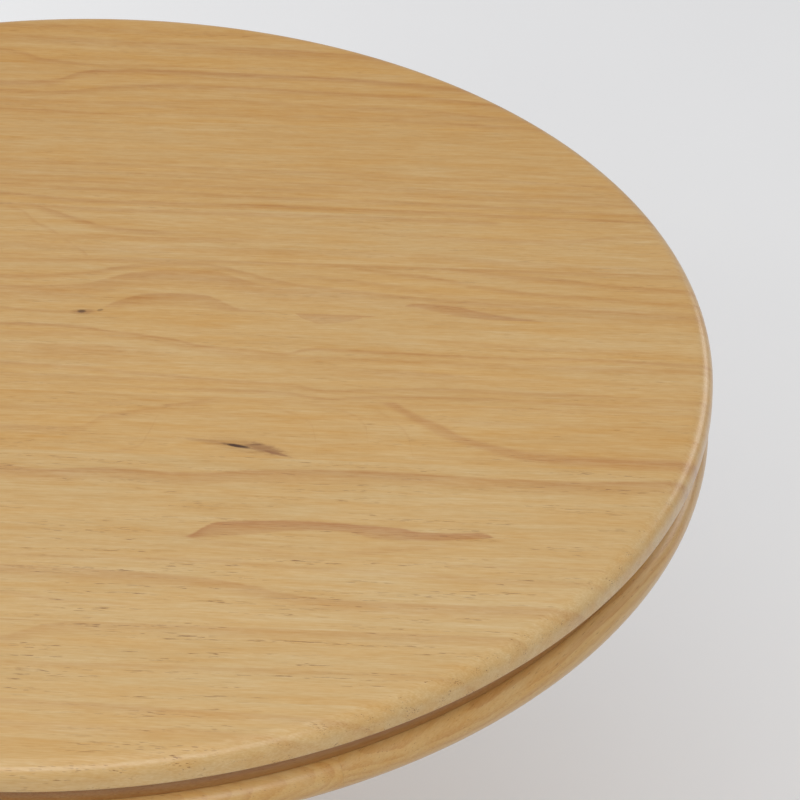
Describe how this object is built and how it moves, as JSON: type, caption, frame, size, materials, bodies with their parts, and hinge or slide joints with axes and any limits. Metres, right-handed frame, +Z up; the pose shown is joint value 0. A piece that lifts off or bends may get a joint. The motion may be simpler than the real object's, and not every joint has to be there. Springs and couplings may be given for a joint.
{
  "type": "round pedestal table",
  "caption": "Round dining table in solid pine with a rounded edge over a half-round bead, on a round column and a round base with levelling feet.",
  "frame": {"origin": "on the floor, on the vertical axis of the table", "axes": "+Z up along the column, +X along the grain of the top boards"},
  "size_m": [1.2, 1.2, 0.76],
  "materials": {
    "lacquered_pine": "satin clear lacquer on honey pine",
    "bare_pine": "sanded, unfinished",
    "zinc_steel": "bright zinc plate",
    "nylon": "moulded, matt"
  },
  "bodies": {
    "table": {"top_board_01": "lacquered_pine", "top_board_02": "lacquered_pine", "top_board_03": "lacquered_pine", "top_board_04": "lacquered_pine", "top_board_05": "lacquered_pine", "top_board_06": "lacquered_pine", "top_board_07": "lacquered_pine", "top_board_08": "lacquered_pine", "top_board_09": "lacquered_pine", "top_board_10": "lacquered_pine", "top_board_11": "lacquered_pine", "neck_segment_1": "lacquered_pine", "neck_segment_2": "lacquered_pine", "neck_segment_3": "lacquered_pine", "neck_segment_4": "lacquered_pine", "neck_segment_5": "lacquered_pine", "neck_segment_6": "lacquered_pine", "rim_bead_segment_1": "lacquered_pine", "rim_bead_segment_2": "lacquered_pine", "rim_bead_segment_3": "lacquered_pine", "rim_bead_segment_4": "lacquered_pine", "rim_bead_segment_5": "lacquered_pine", "rim_bead_segment_6": "lacquered_pine", "column_stave_1": "lacquered_pine", "column_stave_2": "lacquered_pine", "column_stave_3": "lacquered_pine", "column_stave_4": "lacquered_pine", "column_stave_5": "lacquered_pine", "column_stave_6": "lacquered_pine", "column_stave_7": "lacquered_pine", "column_stave_8": "lacquered_pine", "column_top_bead": "lacquered_pine", "column_foot_bead": "lacquered_pine", "base_disc": "lacquered_pine", "base_neck": "lacquered_pine", "base_bead": "lacquered_pine", "left_batten": "bare_pine", "right_batten": "bare_pine", "mounting_plate": "bare_pine", "column_top_block": "bare_pine", "column_bottom_block": "bare_pine", "plate_screw_1": "zinc_steel", "plate_screw_2": "zinc_steel", "plate_screw_3": "zinc_steel", "plate_screw_4": "zinc_steel", "tie_rod": "zinc_steel", "tie_rod_top_nut": "zinc_steel", "tie_rod_bottom_nut": "zinc_steel", "foot_insert_1": "zinc_steel", "foot_insert_2": "zinc_steel", "foot_insert_3": "zinc_steel", "foot_insert_4": "zinc_steel"},
    "pad_1": {"foot_pad_1": "nylon"},
    "stem_1": {"foot_stem_1": "zinc_steel"},
    "pad_2": {"foot_pad_2": "nylon"},
    "stem_2": {"foot_stem_2": "zinc_steel"},
    "pad_3": {"foot_pad_3": "nylon"},
    "stem_3": {"foot_stem_3": "zinc_steel"},
    "pad_4": {"foot_pad_4": "nylon"},
    "stem_4": {"foot_stem_4": "zinc_steel"}
  },
  "joints": [
    {"name": "foot_1_height", "type": "slide", "parent": "table", "child": "pad_1", "axis": [0, 0, -1], "range_m": [0, 0.012]},
    {"name": "foot_1_turn", "type": "hinge", "parent": "pad_1", "child": "stem_1", "pos_m": [0.15157, 0.15157, 0.01], "axis": [0, 0, -1], "range_deg": [0, 2880]},
    {"name": "foot_2_height", "type": "slide", "parent": "table", "child": "pad_2", "axis": [0, 0, -1], "range_m": [0, 0.012]},
    {"name": "foot_2_turn", "type": "hinge", "parent": "pad_2", "child": "stem_2", "pos_m": [-0.15157, 0.15157, 0.01], "axis": [0, 0, -1], "range_deg": [0, 2880]},
    {"name": "foot_3_height", "type": "slide", "parent": "table", "child": "pad_3", "axis": [0, 0, -1], "range_m": [0, 0.012]},
    {"name": "foot_3_turn", "type": "hinge", "parent": "pad_3", "child": "stem_3", "pos_m": [-0.15157, -0.15157, 0.01], "axis": [0, 0, -1], "range_deg": [0, 2880]},
    {"name": "foot_4_height", "type": "slide", "parent": "table", "child": "pad_4", "axis": [0, 0, -1], "range_m": [0, 0.012]},
    {"name": "foot_4_turn", "type": "hinge", "parent": "pad_4", "child": "stem_4", "pos_m": [0.15157, -0.15157, 0.01], "axis": [0, 0, -1], "range_deg": [0, 2880]}
  ],
  "couplings": [
    {"joint": "foot_1_turn", "follows": "foot_1_height", "rad_per_m": 4188.8},
    {"joint": "foot_2_turn", "follows": "foot_2_height", "rad_per_m": 4188.8},
    {"joint": "foot_3_turn", "follows": "foot_3_height", "rad_per_m": 4188.8},
    {"joint": "foot_4_turn", "follows": "foot_4_height", "rad_per_m": 4188.8}
  ]
}
